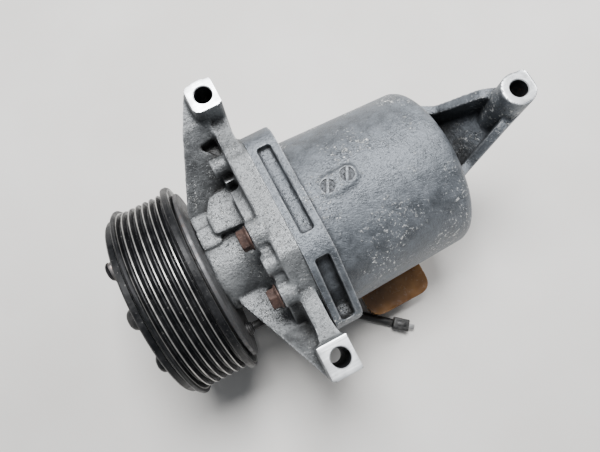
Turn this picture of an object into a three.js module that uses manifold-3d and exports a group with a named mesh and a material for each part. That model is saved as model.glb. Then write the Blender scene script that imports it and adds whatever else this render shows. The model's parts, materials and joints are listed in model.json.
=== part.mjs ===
// Belt-driven automotive rotary-vane compressor with an electromagnetic clutch.
// Millimetres. In the shaft frame X runs along the shaft from the pulley to the rear, Z runs up
// along the lug bolts and Y runs across. The exported group moves that frame so that the origin
// lies midway between the two front bolt holes, on the plane of their pads.
import * as THREE from 'three';
import { mergeVertices } from 'three/addons/utils/BufferGeometryUtils.js';
import Module from 'manifold-3d';

const wasm = await Module();
wasm.setup();

// ---------------------------------------------------------------- driving dimensions
const GAP = 0.3;                 // clearance between neighbouring pieces
const SIDES = 32;                // facets round a large circle
const MID_SIDES = 16;
const SMALL_SIDES = 8;

const LUG_X = 60.7;              // front bolt holes, along the shaft
const LUG_Y = 65;                // and to each side of it
const LUG_HALF = 7.8;            // half the side of a front pad
const PAD_Z = 56;                // plane of the front pads above the shaft
const LUG_FOOT_Z = -8;
const LUG_HOLE_R = 4.25;
const REAR_LUG_X = 187.4;
const REAR_LUG_R = 8.3;
const REAR_PAD_Z = 57.8;
const REAR_LUG_FOOT_Z = 26;

const RIB_PITCH = 3.56;          // PK belt section
const GROOVES = 7;
const CREST_R = 49.7;
const GROOVE_R = 47.1;
const CREST_HALF = 0.38;
const GROOVE_HALF = 0.45;
const RIM_R = 51.8;
const PULLEY_X0 = -5.5;          // friction face
const PULLEY_X1 = 24.3;

const NOSE_R = 22;
const PLATE_X0 = 57;             // flange plate of the front housing
const JOINT_X = 67;              // joint between housing and shell
const PLATE_R = 49.5;
const LEDGE_X0 = 51.5;
const LEDGE_R = 47;
const SHELL_FLANGE_X1 = 81.5;
const SHELL_R0 = 46.8;           // shell radius at its flange
const SHELL_R1 = 44.2;           // and at its rear edge
const SHELL_END_X = 155;
const CAVITY_R = 36;
const BLOCK_R = 35.7;            // pump block inside the shell

const BOLT_SPOTS = [[18, 49], [92, 45], [131, 45], [200, 50], [255, 46], [315, 52]]; // degrees, radius
const BOLT_R = 3;
const BOLT_SEAT_X = 50.5;

const SHAFT_R = 8;
const ROTOR_R = 27;
const ROTOR_X0 = 74.6;
const ROTOR_X1 = 111.7;
const BORE_LONG = 32;            // half axes of the oval cylinder bore
const BORE_SHORT = 27.4;
const VANES = 5;
const VANE_T = 3;
const VANE_IN = 13.6;
const VANE_OUT = 26.7;

const ARMATURE_X0 = -9.6;
const ARMATURE_X1 = -6;
const ARMATURE_R = 48.5;
const STUD_CIRCLE_R = 37.5;      // circle of the rivets and rubber stops
const STUD_STEP = 40;            // degrees from one stud to the next
const FIRST_STUD = 24;

const LEAD_D = 4.6;              // clutch coil lead
const LEAD_ROUTE = [
  [30.6, -33, -8], [35, -33.1, -8.3], [39.1, -33.5, -10.8], [41.8, -34, -14.9], [42.8, -34.7, -20],
  [43.2, -35.5, -27], [44.4, -36.5, -34.5], [48, -38, -42], [53.6, -40, -47.2], [60.4, -42.2, -49.4],
  [68, -44.4, -49.6], [76, -47, -49.6], [83.4, -50.6, -49.6], [90, -55.4, -49.6], [96.8, -61.4, -49.6],
  [103.5, -67, -49.6],
];

// ---------------------------------------------------------------- materials
function finish(color, roughness, metalness) {
  return new THREE.MeshStandardMaterial({ color, roughness, metalness });
}

const CAST = finish(0x8d9499, 0.62, 0.75);
const MACHINED = finish(0xc9ccd0, 0.35, 0.9);
const BLACK_STEEL = finish(0x1d1e20, 0.45, 0.6);
const PLAIN_STEEL = finish(0x9a9b9d, 0.35, 0.95);
const RUSTY_STEEL = finish(0x7a5a50, 0.8, 0.5);
const SPRING_STEEL = finish(0x5b5d60, 0.4, 0.9);
const COPPER = finish(0xa5612f, 0.5, 0.8);
const RUBBER = finish(0x18181a, 0.85, 0);
const BROWN_PLASTIC = finish(0x6e451c, 0.2, 0);
const BLACK_PLASTIC = finish(0x141416, 0.5, 0);

// ---------------------------------------------------------------- geometry helpers
const rad = (degrees) => degrees * Math.PI / 180;
const polar = (degrees, r) => [r * Math.cos(rad(degrees)), r * Math.sin(rad(degrees))];

// Shares the vertices, drops collapsed triangles and turns the faces outward.
function weld(geometry) {
  const bare = geometry.clone();
  bare.deleteAttribute('normal');
  bare.deleteAttribute('uv');
  const merged = mergeVertices(bare, 1e-4);
  const position = merged.getAttribute('position');
  const corners = [0, 1, 2].map(() => new THREE.Vector3());
  const index = merged.getIndex().array;
  const kept = [];
  let volume = 0;
  for (let i = 0; i < index.length; i += 3) {
    const [a, b, c] = [index[i], index[i + 1], index[i + 2]];
    if (a === b || b === c || c === a) continue;
    kept.push(a, b, c);
    [a, b, c].forEach((v, k) => corners[k].fromBufferAttribute(position, v));
    volume += corners[0].dot(corners[1].cross(corners[2]));
  }
  if (volume < 0) {
    for (let i = 0; i < kept.length; i += 3) [kept[i], kept[i + 1]] = [kept[i + 1], kept[i]];
  }
  merged.setIndex(kept);
  return merged;
}

function toSolid(geometry) {
  const welded = weld(geometry);
  const vertProperties = new Float32Array(welded.getAttribute('position').array);
  const triVerts = new Uint32Array(welded.getIndex().array);
  return new wasm.Manifold(new wasm.Mesh({ numProp: 3, vertProperties, triVerts }));
}

function toGeometry(solid) {
  const mesh = solid.getMesh();
  const geometry = new THREE.BufferGeometry();
  geometry.setAttribute('position', new THREE.BufferAttribute(mesh.vertProperties, 3));
  geometry.setIndex(new THREE.BufferAttribute(mesh.triVerts, 1));
  return geometry;
}

// Joins every shape of the first list and takes away every shape of the second.
function carve(joined, removed = []) {
  let solid = toSolid(joined[0]);
  for (const shape of joined.slice(1)) solid = solid.add(toSolid(shape));
  for (const shape of removed) solid = solid.subtract(toSolid(shape));
  return toGeometry(solid);
}

function common(first, second) {
  return toGeometry(toSolid(first).intersect(toSolid(second)));
}

// A solid of revolution about X from a closed or axis-to-axis profile of [x, radius] points.
function turned(profile, sides = SIDES) {
  const points = profile.map(([x, r]) => new THREE.Vector2(r, x));
  return new THREE.LatheGeometry(points, sides).rotateZ(-Math.PI / 2);
}

function ring(x0, x1, r0, r1, sides = SIDES) {
  return turned([[x0, r0], [x0, r1], [x1, r1], [x1, r0], [x0, r0]], sides);
}

function rod(x0, x1, r, y = 0, z = 0, sides = MID_SIDES) {
  const geometry = new THREE.CylinderGeometry(r, r, x1 - x0, sides).rotateZ(-Math.PI / 2);
  return geometry.translate((x0 + x1) / 2, y, z);
}

function post(x, y, z0, z1, r, sides = MID_SIDES) {
  const geometry = new THREE.CylinderGeometry(r, r, z1 - z0, sides).rotateX(Math.PI / 2);
  return geometry.translate(x, y, (z0 + z1) / 2);
}

function block(x0, x1, y0, y1, z0, z1) {
  const geometry = new THREE.BoxGeometry(x1 - x0, y1 - y0, z1 - z0);
  return geometry.translate((x0 + x1) / 2, (y0 + y1) / 2, (z0 + z1) / 2);
}

// A shape through the corners, each of them rounded over the given length of its sides.
function outline(corners, rounding = 0) {
  const shape = new THREE.Shape();
  corners.forEach((corner, i) => {
    const here = new THREE.Vector2(...corner);
    if (rounding === 0) {
      if (i === 0) shape.moveTo(here.x, here.y);
      else shape.lineTo(here.x, here.y);
      return;
    }
    const before = new THREE.Vector2(...corners[(i + corners.length - 1) % corners.length]);
    const after = new THREE.Vector2(...corners[(i + 1) % corners.length]);
    const reach = Math.min(rounding, here.distanceTo(before) / 2.1, here.distanceTo(after) / 2.1);
    const start = here.clone().add(before.sub(here).setLength(reach));
    const end = here.clone().add(after.sub(here).setLength(reach));
    if (i === 0) shape.moveTo(start.x, start.y);
    else shape.lineTo(start.x, start.y);
    shape.quadraticCurveTo(here.x, here.y, end.x, end.y);
  });
  shape.closePath();
  return shape;
}

function disc(r, y = 0, z = 0) {
  return new THREE.Path().absarc(y, z, r, 0, 2 * Math.PI, false);
}

function flat(shape, depth, curveSegments) {
  return new THREE.ExtrudeGeometry(shape, { depth, bevelEnabled: false, curveSegments });
}

// Extrudes a shape drawn in Y and Z along X.
function alongX(shape, x0, x1, curveSegments = 2) {
  const geometry = flat(shape, x1 - x0, curveSegments);
  const turn = new THREE.Matrix4().makeBasis(
    new THREE.Vector3(0, 1, 0), new THREE.Vector3(0, 0, 1), new THREE.Vector3(1, 0, 0));
  return geometry.applyMatrix4(turn).translate(x0, 0, 0);
}

// Extrudes a shape drawn in X and Y along Z.
function alongZ(shape, z0, z1, curveSegments = 2) {
  return flat(shape, z1 - z0, curveSegments).translate(0, 0, z0);
}

// Turns a shape about the shaft, 0 degrees being +Y and 90 degrees +Z.
const about = (geometry, degrees) => geometry.rotateX(rad(degrees));

// ---------------------------------------------------------------- front housing
const pump = new THREE.Group();
pump.position.set(-LUG_X, 0, -PAD_Z);

function add(name, geometry, material) {
  const mesh = new THREE.Mesh(weld(geometry), material);
  mesh.name = name;
  pump.add(mesh);
}

const boltSpots = BOLT_SPOTS.map(([degrees, r]) => polar(degrees, r));
const outerSpots = boltSpots.filter(([y, z]) => Math.hypot(y, z) > 45.5);

// Outline of the housing's flange plate: a disc with a flat top and a corner for the far bolt.
const plateTop = outline([[-36, 35], [-17, 49.5], [33, 49.5], [45, 42], [40, 20], [0, 0]], 2.5);

function frontLug(side) {
  const x0 = LUG_X - LUG_HALF;
  const x1 = LUG_X + LUG_HALF;
  const y0 = LUG_Y - LUG_HALF;
  const y1 = LUG_Y + LUG_HALF;
  const pad = [[x0, side * y0], [x1, side * y0], [x1, side * y1], [x0, side * y1]];
  return alongZ(outline(pad, side > 0 ? 5 : 1.6), LUG_FOOT_Z, PAD_Z);
}

// The arm that joins a lug to the flange plate, wider at the lug.
function lugArm(section, side) {
  const plan = outline([[57.5, side * 20], [57.5, side * 50], [55.5, side * 60],
    [JOINT_X, side * 60], [65.6, side * 50], [65.6, side * 20]]);
  return common(alongX(outline(section), 50, 70), alongZ(plan, -20, 60));
}

// A sloping shelf that braces a lug against the nose.
function brace(section, plan) {
  return common(alongX(outline(section), 20, 60), alongZ(outline(plan, 1.5), -30, 60));
}

function frontHousing() {
  const farArm = [[26, 48], [46, 40], [60, 40], [60, -4], [20, -14]];
  const nearArm = [[-30, 38], [-36, 37], [-60, 38], [-60, -4], [-20, -14]];
  const farShelf = [[18, 11], [57, 46], [73, 52], [73, 44], [57, 38], [18, 3]];
  const nearShelf = [[-18, 12], [-45, 16], [-73, 44], [-73, 35], [-45, 9], [-18, 4]];
  const farPlan = [[58, 72.5], [53.2, 72.5], [27.6, 29], [27.6, 15], [58, 15]];
  const nearPlan = [[58, -72.5], [53.2, -72.5], [31.5, -22], [32, -12], [45, -12], [48.5, -33], [58, -36]];
  const joined = [
    rod(-3.5, 22, 17.3, 0, 0, SIDES),
    rod(21.3, 28, 20.3, 0, 0, SIDES),
    turned([[27.3, 0], [27.3, NOSE_R], [44, NOSE_R + 0.6], [LEDGE_X0 + 1, 27], [LEDGE_X0 + 1, 0]]),
    rod(LEDGE_X0, PLATE_X0 + 1, LEDGE_R, 0, 0, SIDES),
    rod(PLATE_X0, JOINT_X, PLATE_R, 0, 0, SIDES),
    alongX(plateTop, PLATE_X0, JOINT_X),
    lugArm(farArm, 1), lugArm(nearArm, -1),
    frontLug(1), frontLug(-1),
    brace(farShelf, farPlan), brace(nearShelf, nearPlan),
    alongZ(outline([[36, 12], [36, 22], [41, 30], [54, 32], [57.5, 18], [57.5, 10]], 2), -4, 27),
    block(27.5, 37, 19, 25.2, -3, 19),
    alongZ(outline([[27.5, 8], [27.5, 18.6], [35.5, 16], [35.5, 8]], 2), 8, 23),
    rod(49.8, PLATE_X0 + 1, 5, -16, 42),
    rod(49, PLATE_X0 + 1, 4.6, 37.4, 38.6),
    ...boltSpots.map(([y, z]) => rod(BOLT_SEAT_X, PLATE_X0 + 1, 6.8, y, z)),
    ...outerSpots.map(([y, z]) => rod(PLATE_X0, JOINT_X, 8.2, y, z)),
  ];
  const removed = [
    rod(-4, 37, 10.5),
    rod(36, 61, 14),
    rod(59.5, 64, 33, 0, 0, SIDES),
    rod(63.4, JOINT_X + 1, CAVITY_R + 0.2, 0, 0, SIDES),
    ring(-1.2, 0.8, 15.4, 18),
    ring(22.7, 24.5, 18.6, 21),
    post(LUG_X, LUG_Y, LUG_FOOT_Z - 1, PAD_Z + 1, LUG_HOLE_R),
    post(LUG_X, -LUG_Y, LUG_FOOT_Z - 1, PAD_Z + 1, LUG_HOLE_R),
    alongZ(outline([[47.5, 50.5], [56.8, 51], [56.8, 42]], 1), 33, 60, 2),
    alongZ(outline([[49.5, 29], [56.8, 29.3], [56.8, 23.5], [51.5, 22.5]], 1), 27.2, 60, 2),
    ...boltSpots.map(([y, z]) => rod(BOLT_SEAT_X - 1, JOINT_X + 1, BOLT_R + GAP, y, z, SMALL_SIDES)),
  ];
  return carve(joined, removed);
}

add('front_housing', frontHousing(), CAST);

// ---------------------------------------------------------------- rear shell
// Flange of the shell, mirrored below the shaft.
const upperFlange = [[54, 12], [45, 40], [38, 48], [-18, 49.5], [-26, 47], [-53, 27], [-55, 16]];
const flangeShape = outline([...upperFlange, ...upperFlange.map(([y, z]) => [y, -z]).reverse()], 4);

// A rib of the rear bracket in its own upright plane, from the shell's end to the lug.
function bracketRib(y0, y1, thickness) {
  const x0 = 146;
  const length = Math.hypot(REAR_LUG_X - x0, y1 - y0);
  const side = outline([[0, -14], [0, 22], [length * 0.45, 24], [length * 0.8, 43], [length, 46],
    [length, REAR_LUG_FOOT_Z], [length * 0.86, REAR_LUG_FOOT_Z - 2]], 2);
  const geometry = flat(side, thickness, 3).translate(0, 0, -thickness / 2).rotateX(Math.PI / 2);
  return geometry.rotateZ(Math.atan2(y1 - y0, REAR_LUG_X - x0)).translate(x0, y0, 0);
}

// Floor of the bracket, sloping up from the shell's end to the foot of the lug.
function bracketFloor() {
  const section = new THREE.Shape();
  section.moveTo(146, -14);
  section.lineTo(REAR_LUG_X - 4, REAR_LUG_FOOT_Z);
  section.lineTo(REAR_LUG_X - 4, REAR_LUG_FOOT_Z + 4);
  section.lineTo(146, -9.5);
  section.closePath();
  const slope = new THREE.ExtrudeGeometry(section, { depth: 80, bevelEnabled: false });
  slope.rotateX(Math.PI / 2).translate(0, 40, 0);
  const plan = outline([[145, 33], [145, -23], [REAR_LUG_X, -4], [REAR_LUG_X, 5]]);
  return common(slope, alongZ(plan, -30, 60));
}

const portPad = outline([[95, -44], [131, -44], [131, -30.5], [95, -30.5]], 5);

function rearShell() {
  const outer = [[JOINT_X + GAP, 0], [JOINT_X + GAP, SHELL_R0], [SHELL_FLANGE_X1 + 3, SHELL_R0 - 0.3],
    [149.6, SHELL_R1], [152.4, SHELL_R1 - 1.2], [154.2, SHELL_R1 - 3.2], [SHELL_END_X, SHELL_R1 - 6],
    [SHELL_END_X, 0]];
  const oval = outline([[87.5, -1.6], [97, -2], [107, -0.8], [107, 8.4], [97, 8], [87.5, 7.4]], 4.6);
  const lugPad = outline([[REAR_LUG_X + 8, 8.6], [REAR_LUG_X - 5, 7], [REAR_LUG_X - 8, 0], [REAR_LUG_X, -8],
    [REAR_LUG_X + 8, -3]], 4);
  const joined = [
    turned(outer),
    alongX(flangeShape, JOINT_X + GAP, SHELL_FLANGE_X1),
    alongZ(oval, 38, 46.9),
    bracketRib(30, 6, 5), bracketRib(-21, -5.5, 4.6), bracketFloor(),
    post(REAR_LUG_X, 0.5, REAR_LUG_FOOT_Z, REAR_PAD_Z, REAR_LUG_R),
    alongZ(lugPad, REAR_PAD_Z - 12, REAR_PAD_Z),
    alongZ(portPad, -38, -8),
  ];
  const bore = turned([[60, 0], [60, CAVITY_R], [144, CAVITY_R - 0.4], [147, CAVITY_R - 4], [147, 0]]);
  const topPocket = alongX(outline([[30, 46], [30, 60], [-10, 60], [-12, 46]], 1), 71, 77.6);
  const nearCorners = [[-23, 45.5], [-32, 60], [-60, 40], [-51, 23], [-45, 21], [-38, 31], [-24, 42]];
  const nearPocket = alongX(outline(nearCorners, 1), 70.8, 77.8);
  const removed = [
    bore, topPocket, nearPocket,
    ring(JOINT_X, 69.4, 37.2, 39.7),
    post(REAR_LUG_X, 0.5, REAR_LUG_FOOT_Z - 1, REAR_PAD_Z + 1, LUG_HOLE_R),
    post(104, -36.5, -39, -8, 4.5), post(122, -36.5, -39, -8, 4.5),
    ...boltSpots.map(([y, z]) => rod(JOINT_X, SHELL_FLANGE_X1 + 1, BOLT_R + GAP, y, z, SMALL_SIDES)),
  ];
  return carve(joined, removed);
}

add('rear_shell', rearShell(), CAST);

const sealSection = Array.from({ length: 7 }, (_, i) => {
  const [x, r] = polar(i * 60, 0.95);
  return [68.3 + x, 38.45 + r];
});
add('housing_seal', turned(sealSection, SIDES), RUBBER);

boltSpots.forEach(([y, z], i) => {
  const head = rod(BOLT_SEAT_X - 5.3, BOLT_SEAT_X - 1.5, 5.6, y, z, 6);
  const washer = rod(BOLT_SEAT_X - 1.8, BOLT_SEAT_X - GAP, 6.4, y, z, MID_SIDES);
  const shank = rod(BOLT_SEAT_X - 1, SHELL_FLANGE_X1 - 2, BOLT_R, y, z, SMALL_SIDES);
  add(`housing_bolt_${i + 1}`, carve([head, washer, shank]), RUSTY_STEEL);
});

// ---------------------------------------------------------------- transit cover on the hose ports
function transitCover() {
  const plan = [[93, -60], [133, -60], [133, -29.3], [93, -29.3]];
  const inset = (by) => plan.map(([x, y]) => [x + (x < 113 ? by : -by), y + (y < -45 ? by : -by)]);
  const layers = [
    alongZ(outline(inset(0), 9), -44.5, -36.4),
    alongZ(outline(inset(1.2), 8), -47.4, -44),
    alongZ(outline(inset(3.4), 7), -49.8, -47),
  ];
  const mouth = [[94.6, -44.4], [131.4, -44.4], [131.4, -30.1], [94.6, -30.1]];
  const seat = alongZ(outline(mouth, 5.2), -38.4, -30);
  return carve(layers, [seat]);
}

add('transit_cover', transitCover(), BROWN_PLASTIC);

// ---------------------------------------------------------------- pulley and its bearing
function pulley() {
  const profile = [[PULLEY_X0, 24.5], [PULLEY_X0, 50], [PULLEY_X0 + 1, RIM_R], [-3.3, RIM_R]];
  for (let i = 0; i < GROOVES; i += 1) {
    const x = (i - 0.5) * RIB_PITCH;
    if (i > 0) profile.push([x - RIB_PITCH / 2 + CREST_HALF, CREST_R]);
    profile.push([x - GROOVE_HALF, GROOVE_R], [x + GROOVE_HALF, GROOVE_R]);
    if (i < GROOVES - 1) profile.push([x + RIB_PITCH / 2 - CREST_HALF, CREST_R]);
  }
  profile.push([21.2, RIM_R], [23.6, RIM_R], [PULLEY_X1, RIM_R - 0.8], [PULLEY_X1, 43.8],
    [-0.5, 43.8], [-0.5, 29.6], [21.5, 29.6], [21.5, 26.3], [0.6, 26.3], [0.6, 24.5], [PULLEY_X0, 24.5]);
  return turned(profile);
}

add('pulley', pulley(), BLACK_STEEL);
add('pulley_bearing_inner_race', ring(1, 21, 17.6, 20.2), PLAIN_STEEL);
add('pulley_bearing_outer_race', ring(1, 21, 23.8, 26), PLAIN_STEEL);

// A cage ring with its balls or rollers, joined into one piece that turns as a whole.
function cage(x0, x1, r0, r1, count, roller) {
  const middle = (r0 + r1) / 2;
  const rollers = Array.from({ length: count }, (_, i) => {
    const [y, z] = polar(i * 360 / count, middle);
    return roller(y, z);
  });
  return carve([ring(x0, x1, middle - 0.45, middle + 0.45, MID_SIDES), ...rollers]);
}

const ball = (y, z) => new THREE.IcosahedronGeometry(1.45).translate(11, y, z);
add('pulley_bearing_cage', cage(8, 14, 20.5, 23.5, 12, ball), PLAIN_STEEL);

// A retaining ring with a gap between its ends, turned to face the given angle.
function snapRing(x0, x1, r0, r1, degrees) {
  const shape = new THREE.Shape();
  shape.absarc(0, 0, r1, rad(14), rad(346), false);
  shape.absarc(0, 0, r0, rad(346), rad(14), true);
  shape.closePath();
  return about(alongX(shape, x0, x1, SMALL_SIDES), degrees);
}

add('pulley_snap_ring', snapRing(-0.9, 0.5, 15.8, 19.6, 90), SPRING_STEEL);

// ---------------------------------------------------------------- clutch coil
function coilHousing() {
  return turned([[2, 30.2], [2, 32.2], [21, 32.2], [21, 41.2], [2, 41.2], [2, 43.1], [25, 43.1], [25, 46.6],
    [27, 46.6], [27, 20.6], [25, 20.6], [25, 30.2], [2, 30.2]]);
}

const grommetSpot = [LEAD_ROUTE[0][1], LEAD_ROUTE[0][2]];
const leadSlot = rod(20, 28, LEAD_D / 2 + 1.4, ...grommetSpot, SMALL_SIDES);
add('coil_housing', carve([coilHousing()], [leadSlot]), PLAIN_STEEL);
add('coil_winding', ring(4, 20.6, 32.6, 40.8), COPPER);
add('coil_snap_ring', snapRing(22.9, 24.3, 19, 22.2, 270), SPRING_STEEL);

// ---------------------------------------------------------------- coil lead
const grommet = carve([
  rod(21.3, 27.6, LEAD_D / 2 + 1, ...grommetSpot, SMALL_SIDES),
  rod(27.3, 30.3, LEAD_D / 2 + 2, ...grommetSpot, SMALL_SIDES),
]);
add('lead_grommet', grommet, RUBBER);

function coilLead() {
  const route = new THREE.CatmullRomCurve3(LEAD_ROUTE.map((p) => new THREE.Vector3(...p)));
  const section = new THREE.Shape().absarc(0, 0, LEAD_D / 2, 0, 2 * Math.PI, false);
  return new THREE.ExtrudeGeometry(section, { steps: 16, extrudePath: route, curveSegments: 5 });
}

add('coil_lead', coilLead(), RUBBER);

// Connector body on the lead's end, in line with its last stretch.
function leadConnector() {
  const [last, previous] = [LEAD_ROUTE.at(-1), LEAD_ROUTE.at(-2)];
  const heading = Math.atan2(last[1] - previous[1], last[0] - previous[0]);
  const body = block(0.4, 10, -3.6, 3.6, -2.3, 3.2);
  const blade = block(9.5, 13.5, -1.6, 1.6, 0, 0.8);
  return carve([body, blade]).rotateZ(heading).translate(...last);
}

add('lead_connector', leadConnector(), BLACK_PLASTIC);

// ---------------------------------------------------------------- armature, hub and leaf springs
const studAngle = (i) => FIRST_STUD + STUD_STEP * i;
const springs = [0, 1, 2];
const armatureRivets = springs.map((k) => polar(studAngle(3 * k), STUD_CIRCLE_R));
const hubRivets = springs.map((k) => polar(studAngle(3 * k + 1), STUD_CIRCLE_R));
const stops = springs.map((k) => polar(studAngle(3 * k + 2), STUD_CIRCLE_R));

function armature() {
  const blank = turned([[ARMATURE_X0, 17], [ARMATURE_X0, ARMATURE_R - 0.9], [ARMATURE_X0 + 0.9, ARMATURE_R],
    [ARMATURE_X1, ARMATURE_R], [ARMATURE_X1, 17], [ARMATURE_X0, 17]]);
  const hole = (r) => ([y, z]) => rod(ARMATURE_X0 - 1, ARMATURE_X1 + 1, r, y, z, SMALL_SIDES);
  const small = [...armatureRivets, ...stops].map(hole(2.6));
  return carve([blank], [...small, ...hubRivets.map(hole(5))]);
}

add('armature_plate', armature(), BLACK_STEEL);

function hub() {
  const arms = springs.map((k) => {
    const tip = STUD_CIRCLE_R + 1;
    const arm = outline([[0, -7], [tip, -5.4], [tip + 4.6, 0], [tip, 5.4], [0, 7]], 3);
    return about(alongX(arm, -13, -11.3), studAngle(3 * k + 1));
  });
  const boss = rod(-14.6, -4.1, 12, 0, 0, MID_SIDES);
  const web = rod(-13, -11.3, 21, 0, 0, MID_SIDES);
  return carve([boss, web, ...arms], [
    rod(-16, -12.8, 4, 0, 0, SMALL_SIDES),
    rod(-13, -3, SHAFT_R - 0.2, 0, 0, MID_SIDES),
    ...hubRivets.map(([y, z]) => rod(-14, -10, 2.6, y, z, SMALL_SIDES)),
  ]);
}

add('clutch_hub', hub(), PLAIN_STEEL);

springs.forEach((k) => {
  const [y0, z0] = armatureRivets[k];
  const [y1, z1] = hubRivets[k];
  const length = Math.hypot(y1 - y0, z1 - z0);
  const leaf = outline([[-5, -4.6], [length + 5, -4.6], [length + 5, 4.6], [-5, 4.6]], 4);
  leaf.holes.push(disc(2.6, 0, 0), disc(2.6, length, 0));
  const strip = alongX(leaf, -10.9, -9.9, 3).rotateX(Math.atan2(z1 - z0, y1 - y0)).translate(0, y0, z0);
  add(`leaf_spring_${k + 1}`, strip, SPRING_STEEL);
});

const SHANK_R = 2.2;             // shank of a rivet or rubber stop

// A round-headed rivet: tail, shank and domed head, from the back to the front.
function rivet([y, z], tailX, tailR, seatX, headR, height) {
  const dome = [[seatX, 0], [seatX, headR], [seatX - height * 0.45, headR * 0.92],
    [seatX - height * 0.85, headR * 0.6], [seatX - height, headR * 0.25], [seatX - height, 0]];
  const head = turned(dome, MID_SIDES).translate(0, y, z);
  const parts = [head, rod(seatX - 0.5, tailX, SHANK_R, y, z, SMALL_SIDES)];
  if (tailR > SHANK_R) parts.push(rod(tailX - 1.6, tailX, tailR, y, z, SMALL_SIDES));
  return carve(parts);
}

springs.forEach((k) => {
  add(`armature_rivet_${k + 1}`, rivet(armatureRivets[k], -6.5, SHANK_R, -11.2, 5, 3.2), BLACK_STEEL);
  add(`hub_rivet_${k + 1}`, rivet(hubRivets[k], -7.6, 3.6, -13.3, 4.6, 1.9), BLACK_STEEL);
  add(`rubber_stop_${k + 1}`, rivet(stops[k], -6.5, SHANK_R, -9.9, 5.6, 4.6), RUBBER);
});

function hubBolt() {
  const head = rod(-19, -15.8, 6.4, 0, 0, 6);
  const washer = rod(-16.2, -14.9, 8, 0, 0, MID_SIDES);
  return carve([head, washer, rod(-15.2, 6, 3, 0, 0, SMALL_SIDES)]);
}

add('hub_bolt', hubBolt(), PLAIN_STEEL);

// ---------------------------------------------------------------- shaft and its seal and bearings
function driveShaft() {
  const profile = [[-12.5, 0], [-12.5, 6.6], [-11.7, 7.4], [-3, 7.4], [-2.4, SHAFT_R], [123, SHAFT_R],
    [124, SHAFT_R - 1], [124, 0]];
  return carve([turned(profile, MID_SIDES)], [rod(-13, 8, 3.3, 0, 0, SMALL_SIDES)]);
}

add('drive_shaft', driveShaft(), PLAIN_STEEL);
const lipSection = [[39, 8.3], [39, 13.6], [46, 13.6], [46, 12.4], [40.6, 12.4], [40.6, 9.6], [44, 8.5],
  [43, 8.3], [39, 8.3]];
add('shaft_seal', turned(lipSection, MID_SIDES), RUBBER);
add('seal_snap_ring', snapRing(46.5, 47.9, 10.4, 13.6, 0), SPRING_STEEL);

const needle = (x0, x1) => (y, z) => rod(x0, x1, 0.85, y, z, 6);
add('front_needle_bearing', cage(65, 73, 8.3, 10.9, 8, needle(65.5, 72.5)), PLAIN_STEEL);
add('rear_needle_bearing', cage(113.3, 121, 8.3, 10.9, 8, needle(113.8, 120.5)), PLAIN_STEEL);

// ---------------------------------------------------------------- pump block
function sideBlock(x0, x1, ports) {
  const shape = new THREE.Shape().absarc(0, 0, BLOCK_R, 0, 2 * Math.PI, false);
  shape.holes.push(disc(11.2), ...ports.map(([degrees, r]) => disc(3.6, ...polar(degrees, r))));
  return alongX(shape, x0, x1, SMALL_SIDES);
}

add('front_side_block', sideBlock(64, 74, [[40, 28.8], [220, 28.8]]), MACHINED);
add('rear_side_block', sideBlock(112.3, 122, [[90, 16], [270, 16]]), MACHINED);

const FLAT_Z = 30.2;             // flats on the cylinder block, under the discharge valves

function boreRadius(angle) {
  const middle = (BORE_LONG + BORE_SHORT) / 2;
  return middle + (BORE_LONG - middle) * Math.cos(2 * angle);
}

function cylinderBlock() {
  const shape = new THREE.Shape().absarc(0, 0, BLOCK_R, 0, 2 * Math.PI, false);
  const bore = new THREE.Path();
  for (let i = 0; i < SIDES; i += 1) {
    const angle = i * 2 * Math.PI / SIDES;
    const r = boreRadius(angle);
    if (i === 0) bore.moveTo(r * Math.cos(angle), r * Math.sin(angle));
    else bore.lineTo(r * Math.cos(angle), r * Math.sin(angle));
  }
  bore.closePath();
  shape.holes.push(bore);
  const removed = [1, -1].flatMap((side) => [
    block(78, 108, -14, 14, Math.min(side * FLAT_Z, side * 40), Math.max(side * FLAT_Z, side * 40)),
    post(101, side * 4, Math.min(side * 20, side * 40), Math.max(side * 20, side * 40), 1.8, SMALL_SIDES),
  ]);
  return carve([alongX(shape, 74.3, 112, MID_SIDES)], removed);
}

add('cylinder_block', cylinderBlock(), MACHINED);

const VALVE_TILT = 3;            // degrees that a discharge valve can lift
[1, -1].forEach((side, k) => {
  const reed = block(80, 106, -5.5, 5.5, 0.3, 0.7);
  const stop = block(0, 26, -5.5, 5.5, 0, 1.2).rotateY(rad(-VALVE_TILT)).translate(80, 0, 1.1);
  const turn = side > 0 ? 0 : Math.PI;
  add(`discharge_valve_${k + 1}`, reed.translate(0, 0, FLAT_Z).rotateX(turn), SPRING_STEEL);
  add(`valve_stop_${k + 1}`, stop.translate(0, 0, FLAT_Z).rotateX(turn), SPRING_STEEL);
});

function rotor() {
  const half = VANE_T / 2 + GAP;
  const slots = Array.from({ length: VANES }, (_, i) => {
    const slot = block(ROTOR_X0 - 1, ROTOR_X1 + 1, VANE_IN - 0.4, ROTOR_R + 2, -half, half);
    return about(slot, i * 360 / VANES);
  });
  return carve([ring(ROTOR_X0, ROTOR_X1, SHAFT_R + GAP, ROTOR_R)], slots);
}

add('rotor', rotor(), MACHINED);

for (let i = 0; i < VANES; i += 1) {
  const side = [[VANE_IN, -VANE_T / 2], [VANE_OUT - 0.6, -VANE_T / 2], [VANE_OUT, -0.6], [VANE_OUT, 0.6],
    [VANE_OUT - 0.6, VANE_T / 2], [VANE_IN, VANE_T / 2]];
  const vane = alongX(outline(side), ROTOR_X0 + 0.2, ROTOR_X1 - 0.2);
  add(`vane_${i + 1}`, about(vane, i * 360 / VANES), MACHINED);
}

function oilSeparator() {
  const x = 133;
  const plate = rod(122.4, 126, 24, 0, 0, MID_SIDES);
  const removed = [post(x, 0, -21, 16, 5.2, SMALL_SIDES), rod(121, x, 2.6, 0, 14.2, SMALL_SIDES),
    rod(121, 124.6, 9)];
  return carve([plate, post(x, 0, -20, 20, 8), block(125, x, -7, 7, -19, 19)], removed);
}

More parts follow.
